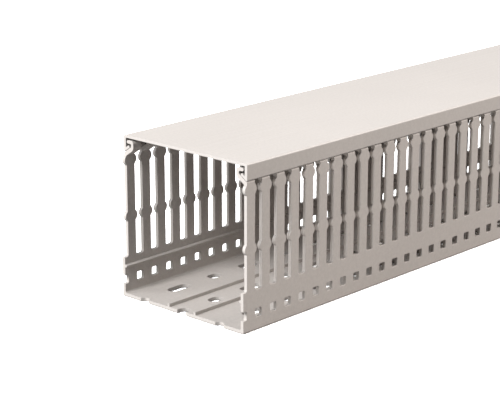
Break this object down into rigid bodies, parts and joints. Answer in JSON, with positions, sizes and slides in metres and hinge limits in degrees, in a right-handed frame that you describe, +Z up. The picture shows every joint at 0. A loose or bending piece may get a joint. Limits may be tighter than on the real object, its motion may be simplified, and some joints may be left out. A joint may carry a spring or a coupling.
{
  "type": "slotted wire duct",
  "caption": "Square slotted wire duct: a channel with slotted walls and perforated floor, and a cover that hooks over the finger heads.",
  "frame": {"origin": "centre of the whole part's footprint, on the underside of the duct's floor", "axes": "+X across the duct, +Y along its length away from the end where the cover is set back, +Z up from the floor to the cover"},
  "size_m": [0.1004, 1.003, 0.1],
  "materials": {
    "base_pvc": "satin extruded rigid PVC, stone grey",
    "cover_pvc": "satin extruded rigid PVC, stone grey"
  },
  "bodies": {
    "base": {"duct_base": "base_pvc"},
    "cover": {"duct_cover": "cover_pvc"}
  },
  "joints": [
    {"name": "cover_slide", "type": "slide", "parent": "base", "child": "cover", "axis": [0, 1, 0], "range_m": [-1.003, 0.997]}
  ]
}
